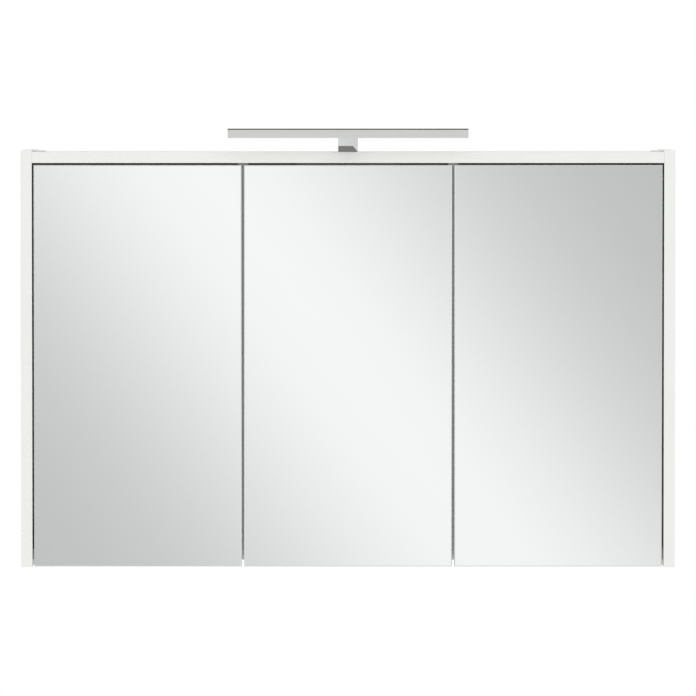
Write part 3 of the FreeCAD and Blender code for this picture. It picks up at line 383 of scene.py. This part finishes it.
# ---- materials: glass -------------------------------------------------------
def silvered_glass(silver, edge, edge_plane):
    """Mirror: float glass silvered on its back, its arris polished and its edges ground. The face
    and the arris reflect almost everything, the ground edge shows the green of the glass."""
    made, tree, shader, place = material("silvered_float_glass")
    depth = add(tree, "ShaderNodeSeparateXYZ", (place,)).outputs["Y"]
    ground = add(tree, "ShaderNodeMath", (depth, edge_plane), operation="GREATER_THAN")
    sides = {"Factor": ground, "A": (*silver, 1), "B": (*edge, 1)}
    feed(tree, shader.inputs["Base Color"], add(tree, "ShaderNodeMix", sides, data_type="RGBA"))
    metallic = add(tree, "ShaderNodeMath", (1.0, ground), operation="SUBTRACT")
    feed(tree, shader.inputs["Metallic"], metallic)
    rough = add(tree, "ShaderNodeMath", (ground, 0.22), operation="MULTIPLY")
    feed(tree, shader.inputs["Roughness"], rough)
    streak = add(tree, "ShaderNodeTexNoise",
                 {"Vector": place, "Scale": 1 / (1.111 * MM), "Detail": 2.0}).outputs["Fac"]
    height = add(tree, "ShaderNodeMath", (streak, ground), operation="MULTIPLY")
    relief = {"Height": height, "Distance": 0.02 * MM, "Strength": 0.4}
    feed(tree, shader.inputs["Normal"], add(tree, "ShaderNodeBump", relief))
    return made


def shelf_float_glass(edge):
    """Clear float glass shelf: nearly colourless through its faces and very slightly wavy from
    the float line. Its polished upright edges show the green that the glass has in depth."""
    made, tree, shader, place = material("clear_float_glass", IOR=1.52)
    normal = add(tree, "ShaderNodeTexCoord").outputs["Normal"]
    facing = add(tree, "ShaderNodeSeparateXYZ", (normal,)).outputs["Z"]
    level = add(tree, "ShaderNodeMath", (facing,), operation="ABSOLUTE")
    flat = add(tree, "ShaderNodeMath", (level, 0.5), operation="GREATER_THAN")
    clear = (*(0.75 + 0.25 * c for c in edge), 1)
    sides = {"Factor": flat, "A": (*shade(edge, 0.8), 1), "B": clear}
    feed(tree, shader.inputs["Base Color"], add(tree, "ShaderNodeMix", sides, data_type="RGBA"))
    feed(tree, shader.inputs["Transmission Weight"], flat)
    rough = add(tree, "ShaderNodeMapRange", {"Value": flat, "To Min": 0.2, "To Max": 0.02})
    feed(tree, shader.inputs["Roughness"], rough)
    wave = add(tree, "ShaderNodeTexNoise",
               {"Vector": place, "Scale": 1 / (111.1 * MM), "Detail": 1.0}).outputs["Fac"]
    relief = {"Height": wave, "Distance": 0.1 * MM, "Strength": 0.15}
    feed(tree, shader.inputs["Normal"], add(tree, "ShaderNodeBump", relief))
    return made


# ---- materials: metals ------------------------------------------------------
def metal(name, colour, rough, spread, grain, depth, stretch=(1, 1, 1)):
    """Metal whose marks have a grain size, stretched along the way it was worked. Marks of a few
    hundredths of a millimetre are drawn coarser, at the size of their groups."""
    made, tree, shader, place = material(name, Base_Color=colour, Roughness=rough, Metallic=1.0)
    lay = add(tree, "ShaderNodeMapping", {"Vector": place, "Scale": stretch})
    marks = add(tree, "ShaderNodeTexNoise",
                {"Vector": lay, "Scale": 1 / grain, "Detail": 4.0}).outputs["Fac"]
    clouded(tree, shader, marks, shade(colour, 0.93), shade(colour, 1.04))
    worked(tree, shader, marks, max(0.0, rough - spread), rough + spread, depth)
    return made


def polished_chrome():
    """Chrome plated on polished zinc: deep, cool and sharp, with a trace of polishing haze."""
    return metal("polished_chrome_plate", linear("#E4E6E8"), 0.06, 0.03, 40 * MM, 0.002 * MM)


def shade_darkened_chrome():
    """Chrome on cast zinc, glossy, with a trace of the casting. Its dark grey colour is painted
    shade for the shadow under the lamp's arm.
    """
    return metal("shade_darkened_chrome_plate", linear("#8C8B87"), 0.16, 0.06, 6 * MM, 0.01 * MM)


def anodised_aluminium(colour):
    """Extruded aluminium, etched and anodised: satin grey with fine die lines along its length."""
    return metal("anodised_aluminium", colour, 0.42, 0.08, 0.35 * MM, 0.006 * MM, (0.004, 1, 1))


def painted_dark_edge_plate():
    """Aluminium plate, satin, with brushing along its length. Its near-black colour is painted
    shade and reflection: it stands in for the dark line along the lamp's top edge.
    """
    return metal("painted_dark_edge_plate", linear("#343331"), 0.4, 0.08, 0.3 * MM, 0.005 * MM,
                 (0.004, 1, 1))


def nickel_steel():
    """Pressed steel, nickel-plated: warm grey, soft gloss, faint orange peel from the press."""
    return metal("nickel_plated_steel", linear("#C9C6C0"), 0.24, 0.06, 1.4 * MM, 0.006 * MM)


def zinc_steel():
    """Steel screws, bright zinc-plated: cool grey with a slight blue and fine tool marks."""
    return metal("bright_zinc_plated_steel", linear("#C3C8CC"), 0.28, 0.1, 0.5 * MM, 0.01 * MM)


def die_cast_zinc():
    """Die-cast zinc: dull light grey with flow marks."""
    return metal("die_cast_zinc", linear("#A9ABAC"), 0.45, 0.12, 2.2 * MM, 0.02 * MM)


# ---- materials: plastics and rubber -----------------------------------------
def moulded(name, colour, rough, grain, depth, spread=0.05, **extra):
    """Moulded plastic or rubber: colour in the material, spark-eroded texture of a given grain.
    The real texture is near 0.1 mm, and it is drawn coarser so that it shows."""
    made, tree, shader, place = material(name, Base_Color=colour, Roughness=rough, **extra)
    spark = add(tree, "ShaderNodeTexNoise",
                {"Vector": place, "Scale": 1 / grain, "Detail": 3.0, "Roughness": 0.6})
    flow = add(tree, "ShaderNodeTexNoise",
               {"Vector": place, "Scale": 1 / (33.33 * MM), "Detail": 2.0})
    clouded(tree, shader, flow.outputs["Fac"], shade(colour, 0.97), shade(colour, 1.02))
    worked(tree, shader, spark.outputs["Fac"], max(0.02, rough - spread), rough + spread, depth)
    return made


def white_abs():
    """White ABS, spark-eroded mould: even, slightly warm white with a fine matt texture."""
    return moulded("white_moulded_abs", linear("#E9E9E6"), 0.45, 0.5 * MM, 0.02 * MM)


def grey_abs():
    """Grey ABS, spark-eroded mould: even mid grey, a little glossier than the white."""
    return moulded("grey_moulded_abs", linear("#C6C6C4"), 0.42, 0.5 * MM, 0.02 * MM)


def driver_case():
    """Flame-proof ABS of a driver's case: plain grey and matt."""
    return moulded("grey_driver_case", linear("#9FA1A2"), 0.5, 0.5 * MM, 0.02 * MM)


def glossy_thermoset():
    """Pressed thermoset of sockets and switches: white, hard and glossy."""
    return moulded("glossy_thermoset", linear("#EBEBE8"), 0.18, 1.5 * MM, 0.004 * MM, 0.04)


def pvc_sheath():
    """PVC drawn over a lead: off-white, soft gloss, slightly uneven."""
    return moulded("pvc_sheath", linear("#E4E4E1"), 0.5, 0.8 * MM, 0.01 * MM)


def opal_acrylic():
    """Extruded opal acrylic: milky white that scatters light under a smooth skin."""
    return moulded("opal_acrylic", linear("#EDEDE8"), 0.3, 0.6 * MM, 0.004 * MM,
                   Subsurface_Weight=0.5, Subsurface_Scale=2 * MM, IOR=1.49)


def clear_polyurethane():
    """Cast polyurethane: a clear, soft dome with a smooth skin."""
    return moulded("clear_polyurethane", linear("#DDE1E2"), 0.2, 2 * MM, 0.005 * MM,
                   Transmission_Weight=0.6, IOR=1.49)


def black_rubber():
    """Moulded rubber: near black and matt, with a bloom of fine dust."""
    return moulded("black_moulded_rubber", linear("#2E2E2F"), 0.65, 0.4 * MM, 0.03 * MM)


def led_circuit(chip_level):
    """Circuit strip: white solder mask with light chips under yellow phosphor lenses."""
    made, tree, shader, place = material("led_circuit_strip", Roughness=0.45)
    height = add(tree, "ShaderNodeSeparateXYZ", (place,)).outputs["Z"]
    chip = add(tree, "ShaderNodeMath", (height, chip_level), operation="LESS_THAN")
    sides = {"Factor": chip, "A": linear("#EDEBE3", 1), "B": linear("#E6C35A", 1)}
    feed(tree, shader.inputs["Base Color"], add(tree, "ShaderNodeMix", sides, data_type="RGBA"))
    return made


# ---- operators --------------------------------------------------------------
class CABINET_OT_boards(bpy.types.Operator):
    """Faces the carcass and door boards with melamine and the back with hardboard."""

    bl_idname = "cabinet.boards"
    bl_label = "Boards"

    def execute(self, context):
        board = context.scene.cabinet_board
        white = melamine_face(tuple(board.face), board.grain, board.gloss)
        names = ["side_panel_left", "side_panel_right", "top_panel", "bottom_panel"]
        names += ["partition_left", "partition_right"] + [f"door_board_{d}" for d in DOORS]
        finish(names, white)
        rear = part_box("back_panel")[1].y - 0.5 * MM
        finish(["back_panel"], back_hardboard(tuple(board.face), rear))
        return {"FINISHED"}


class CABINET_OT_mirrors(bpy.types.Operator):
    """Silvers the door mirrors and greens their ground edges."""

    bl_idname = "cabinet.mirrors"
    bl_label = "Mirrors"

    def execute(self, context):
        glass = context.scene.cabinet_glass
        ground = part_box("door_mirror_middle")[0].y + MIRROR_ARRIS + 0.05 * MM
        made = silvered_glass(tuple(glass.silver), tuple(glass.edge), ground)
        finish([f"door_mirror_{d}" for d in DOORS], made)
        return {"FINISHED"}


class CABINET_OT_shelves(bpy.types.Operator):
    """Gives the shelves clear glass and their pins nickel."""

    bl_idname = "cabinet.shelves"
    bl_label = "Shelves and pins"

    def execute(self, context):
        clear = shelf_float_glass(tuple(context.scene.cabinet_glass.edge))
        names = [f"shelf_{bay}_{row}" for bay in DOORS for row in ("lower", "upper")]
        finish(names, clear)
        finish(["shelf_pins"], shared(nickel_steel))
        return {"FINISHED"}


class CABINET_OT_hinges(bpy.types.Operator):
    """Plates the hinges and their screws."""

    bl_idname = "cabinet.hinges"
    bl_label = "Hinges"

    def execute(self, context):
        nickel, zinc = shared(nickel_steel), shared(zinc_steel)
        for door in DOORS:
            finish([f"hinge_arms_{door}", f"hinge_cups_{door}"], nickel)
            finish([f"hinge_pins_{door}", f"cup_screws_{door}"], zinc)
        finish(["hinge_plates"], nickel)
        finish(["hinge_arm_screws", "hinge_plate_screws"], zinc)
        return {"FINISHED"}


class CABINET_OT_joinery(bpy.types.Operator):
    """Finishes the connectors, dowels and screws, and turns the cover caps."""

    bl_idname = "cabinet.joinery"
    bl_label = "Joinery"

    def execute(self, context):
        finish(["cam_locks"], die_cast_zinc())
        finish(["cam_bolts", "partition_screws"], shared(zinc_steel))
        finish(["dowels"], turned_beech())
        finish(["cam_caps"], shared(white_abs))
        self.caps(shared(white_abs))
        return {"FINISHED"}

    def caps(self, made):
        """Domed cover caps. Above the rim the height falls from the middle as 1 - (r / R)^4, and
        below it the edge rolls in to the board."""
        rim, roll, inset = 0.55, 0.35, 0.5  # shares of a cap's thickness
        low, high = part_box("side_panel_left")
        halfway = (low.z + high.z) / 2
        grids = []
        for low, high in solids("cam_caps"):
            middle, radius, thick = (low + high) / 2, (high[0] - low[0]) / 2, high[2] - low[2]
            up = 1.0 if middle[2] > halfway else -1.0
            base = (middle[0], middle[1], low[2] if up > 0 else high[2])
            r = np.linspace(0, 1, 10)[:-1]
            heights = thick * (rim + (1 - rim) * (1 - r**4))
            outline = list(zip(radius * r, heights)) + [(radius, thick * rim)]
            outline += arc((radius - roll * thick, roll * thick), roll * thick, 0, -70, 4)
            outline += [(radius - inset * thick, 0), (0, 0)]
            grids.append(turned(outline, base, (0, 0, up), 40))
        piece = joined("cover_caps", grids, made, "carcass")
        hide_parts("cam_caps")


class CABINET_OT_bumpers(bpy.types.Operator):
    """Makes the soft door stops as domes of clear polyurethane."""

    bl_idname = "cabinet.bumpers"
    bl_label = "Door stops"

    def execute(self, context):
        foot, foot_height, shoulder = 0.9, 0.06, 0.45  # shares of a stop's radius and depth
        grids = []
        for low, high in solids("door_bumpers"):
            radius, depth = (high[0] - low[0]) / 2, high[1] - low[1]
            base = ((low[0] + high[0]) / 2, high[1], (low[2] + high[2]) / 2)
            t = np.linspace(0, math.pi / 2, 10)
            heights = depth * (shoulder + (1 - shoulder) * np.sin(t))
            outline = [(0, 0), (radius * foot, 0), (radius, depth * foot_height)]
            outline += list(zip(radius * np.cos(t), heights))
            grids.append(turned(outline, base, (0, -1, 0), 32))
        piece = joined("door_stops", grids, clear_polyurethane(), "carcass")
        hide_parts("door_bumpers")
        return {"FINISHED"}


class CABINET_OT_hangers(bpy.types.Operator):
    """Finishes the wall hangers."""

    bl_idname = "cabinet.hangers"
    bl_label = "Wall hangers"

    def execute(self, context):
        finish(["hanger_housings"], shared(white_abs))
        finish(["hanger_hooks", "hanger_screws"], shared(zinc_steel))
        return {"FINISHED"}


class CABINET_OT_lamp(bpy.types.Operator):
    """Finishes the lamp, its arm, its foot and its lead."""

    bl_idname = "cabinet.lamp"
    bl_label = "Lamp"

    def execute(self, context):
        body = tuple(context.scene.cabinet_lamp.body)
        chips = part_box("led_strip")[0].z + LENS_DEPTH
        finish(["lamp_housing"], anodised_aluminium(body))
        # The top plate's near-black colour is painted shade and reflection along the lamp's top
        # edge.
        finish(["lamp_top_plate"], painted_dark_edge_plate())
        finish(["lamp_end_caps"], grey_abs())
        finish(["lamp_arm"], polished_chrome())
        # The foot's dark grey colour is painted shade, standing in for the shadow under the arm.
        finish(["lamp_foot"], shade_darkened_chrome())
        finish(["lamp_screws"], shared(zinc_steel))
        finish(["led_strip"], led_circuit(chips))
        finish(["lamp_lead"], pvc_sheath())
        finish(["lamp_diffuser"], opal_acrylic())
        return {"FINISHED"}


class CABINET_OT_power_box(bpy.types.Operator):
    """Finishes the box with the socket, the switch and the driver, and turns its grommet."""

    bl_idname = "cabinet.power_box"
    bl_label = "Power box"

    def execute(self, context):
        finish(["power_box_base", "power_box_cover"], shared(white_abs))
        finish(["socket_insert", "switch_rocker"], glossy_thermoset())
        finish(["led_driver"], driver_case())
        finish(["power_box_screws"], shared(zinc_steel))
        self.grommet()
        return {"FINISHED"}

    def grommet(self):
        """Turned grommet: two rolled lips with a waist between them and a bore through."""
        low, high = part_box("cable_grommet")
        sheet_low, sheet_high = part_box("back_panel")
        outer, length = (high.x - low.x) / 2, high.y - low.y
        waist = outer - GROMMET_LIP
        lip = (length - (sheet_high.y - sheet_low.y)) / 2
        roll = lip / 2
        outline = arc((GROMMET_BORE + roll, roll), roll, 180, 270, 5)
        outline += arc((outer - roll, roll), roll, -90, 90, 9) + [(waist, lip)]
        outline += [(waist, length - lip)] + arc((outer - roll, length - roll), roll, -90, 90, 9)
        outline += arc((GROMMET_BORE + roll, length - roll), roll, 90, 180, 5)
        centre = ((low.x + high.x) / 2, low.y, (low.z + high.z) / 2)
        grid = turned(outline, centre, (0, 1, 0), 56)
        piece = joined("rubber_grommet", [grid], black_rubber(), "carcass", True)
        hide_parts("cable_grommet")


class CABINET_OT_stage(bpy.types.Operator):
    """Sets the floor, the soft studio light and the camera."""

    bl_idname = "cabinet.stage"
    bl_label = "Stage"

    def execute(self, context):
        scene, stage = context.scene, context.scene.cabinet_stage
        low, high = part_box("side_panel_left")
        self.floor(scene, stage)
        self.world(scene, stage)
        self.softbox(scene, stage, low.y, high.z)
        self.camera(scene, stage, low.y, high.z)
        scene.view_settings.view_transform = "Standard"
        return {"FINISHED"}

    def floor(self, scene, stage):
        """Pale floor: a disc whose points are (r cos t, r sin t) at the floor's level."""
        made, tree, shader, place = material(
            "pale_floor_paint", Base_Color=linear("#E3E3E1"), Roughness=0.7)
        mottle = add(tree, "ShaderNodeTexNoise",
                     {"Vector": place, "Scale": 1 / (333.3 * MM), "Detail": 4.0})
        clouded(tree, shader, mottle.outputs["Fac"], linear("#E1E1DF"), linear("#E5E5E3"))
        t, r = np.meshgrid(np.linspace(0, 2 * math.pi, 96, endpoint=False),
                           np.linspace(FLOOR_RADIUS, 0, 6), indexing="ij")
        level = np.full_like(r, -stage.hanging_height)
        points = np.stack([r * np.cos(t), r * np.sin(t), level], -1)
        mesh = bpy.data.meshes.new("floor")
        mesh.from_pydata(points.reshape(-1, 3).tolist(), [], quads(*r.shape).tolist())
        mesh.materials.append(made)
        floor = bpy.data.objects.new("floor", mesh)
        scene.collection.objects.link(floor)

    def world(self, scene, stage):
        """White studio: even light all round, dimmer ahead of the mirrors at their own height,
        where one soft slanting band of light stands. The dimming falls off as a Gaussian of a
        ray's height, and the band as a Gaussian of the slope across it. The camera sees white."""
        world = bpy.data.worlds.new("soft_studio")
        scene.world = world
        world.use_nodes = True
        tree = world.node_tree
        ray = add(tree, "ShaderNodeTexCoord").outputs["Generated"]
        split = add(tree, "ShaderNodeSeparateXYZ", (ray,))
        found = {axis.lower(): split.outputs[axis] for axis in "XYZ"}
        found["seen"] = add(tree, "ShaderNodeLightPath").outputs["Is Camera Ray"]
        steps = (
            ("front", "MULTIPLY", "y", -1.0),
            ("ahead", "MAXIMUM", "front", 0.0),
            ("ahead^2", "MULTIPLY", "ahead", "ahead"),
            ("height", "DIVIDE", "z", DIM_SPREAD),
            ("height^2", "MULTIPLY", "height", "height"),
            ("-height^2", "MULTIPLY", "height^2", -1.0),
            ("low", "EXPONENT", "-height^2"),
            ("dimmed", "MULTIPLY", "ahead^2", "low"),
            ("depth", "MAXIMUM", "ahead", LEAST_AHEAD),
            ("right", "DIVIDE", "x", "depth"),
            ("rise", "DIVIDE", "z", "depth"),
            ("rightwards", "MULTIPLY", "right", ACROSS_RIGHT),
            ("across", "MULTIPLY_ADD", "rise", ACROSS_UP, "rightwards"),
            ("offset", "SUBTRACT", "across", BAND_PLACE),
            ("width", "DIVIDE", "offset", BAND_WIDTH),
            ("width^2", "MULTIPLY", "width", "width"),
            ("-width^2", "MULTIPLY", "width^2", -1.0),
            ("band", "EXPONENT", "-width^2"),
            ("up", "MAXIMUM", "z", 0.0),
            ("up^2", "MULTIPLY", "up", "up"),
            ("sky", "MULTIPLY_ADD", "up^2", OVERHEAD, ROOM),
            ("less", "MULTIPLY_ADD", "band", -MIRROR_RISE, ROOM - MIRROR_LOW),
            ("dark", "MULTIPLY", "dimmed", "less"),
            ("even", "SUBTRACT", "sky", "dark"),
            ("light", "MULTIPLY", "even", stage.light),
            ("to white", "SUBTRACT", 1.0, "light"),
            ("strength", "MULTIPLY_ADD", "seen", "to white", "light"),
        )
        for name, operation, *terms in steps:
            values = [found.get(term, term) for term in terms]
            found[name] = add(tree, "ShaderNodeMath", values, operation=operation)
        background = tree.nodes["Background"]
        background.inputs["Color"].default_value = (1, 1, 1, 1)
        feed(tree, background.inputs["Strength"], found["strength"])

    def softbox(self, scene, stage, front, top):
        """Large square lamp ahead that lights the cabinet and doesn't show in its mirrors."""
        lamp = bpy.data.lights.new("softbox", "AREA")
        lamp.size = SOFTBOX_WIDTH
        lamp.energy = stage.softbox
        box = bpy.data.objects.new("softbox", lamp)
        box.location = (0.0, front - SOFTBOX_AHEAD, top + SOFTBOX_RISE)
        box.rotation_euler = (math.pi / 2 - SOFTBOX_DIP, 0, 0)
        box.visible_camera = False
        box.visible_glossy = False
        scene.collection.objects.link(box)

    def camera(self, scene, stage, front, top):
        """Long lens a little above the cabinet's top, aimed at the middle of cabinet and lamp."""
        spot = np.array([0.0, front - stage.camera_distance, top + stage.camera_rise])
        aim = np.array([0.0, front, top - AIM_DROP])
        lens = bpy.data.cameras.new("camera")
        lens.sensor_width = SENSOR_WIDTH
        lens.lens = SENSOR_WIDTH * float(np.linalg.norm(aim - spot)) / stage.view_width
        lens.clip_end = VIEW_REACH
        camera = bpy.data.objects.new("camera", lens)
        camera.location = spot
        pitch = math.atan2(aim[2] - spot[2], aim[1] - spot[1])
        camera.rotation_euler = (math.pi / 2 + pitch, 0, 0)
        scene.collection.objects.link(camera)
        scene.camera = camera


class CABINET_PT_panel(bpy.types.Panel):
    """Sidebar panel with the settings and the operators."""

    bl_label = "Mirror cabinet"
    bl_space_type = "VIEW_3D"
    bl_region_type = "UI"
    bl_category = "Cabinet"

    def draw(self, context):
        for name, group in SETTINGS.items():
            for key in group.__annotations__:
                self.layout.prop(getattr(context.scene, name), key)
        for operator in OPERATORS:
            self.layout.operator(operator.bl_idname)


OPERATORS = (
    CABINET_OT_stage,
    CABINET_OT_boards,
    CABINET_OT_mirrors,
    CABINET_OT_shelves,
    CABINET_OT_hinges,
    CABINET_OT_joinery,
    CABINET_OT_bumpers,
    CABINET_OT_hangers,
    CABINET_OT_lamp,
    CABINET_OT_power_box,
)


def register():
    """Registers the settings, the operators and the panel."""
    for name, group in SETTINGS.items():
        bpy.utils.register_class(group)
        setattr(bpy.types.Scene, name, PointerProperty(type=group))
    for entry in (*OPERATORS, CABINET_PT_panel):
        bpy.utils.register_class(entry)


def unregister():
    """Undoes register."""
    for entry in reversed((*OPERATORS, CABINET_PT_panel)):
        bpy.utils.unregister_class(entry)
    for name, group in SETTINGS.items():
        delattr(bpy.types.Scene, name)
        bpy.utils.unregister_class(group)


def main():
    """Runs every operator."""
    register()
    for operator in OPERATORS:
        group, call = operator.bl_idname.split(".")
        getattr(getattr(bpy.ops, group), call)()


if __name__ == "__main__":
    main()
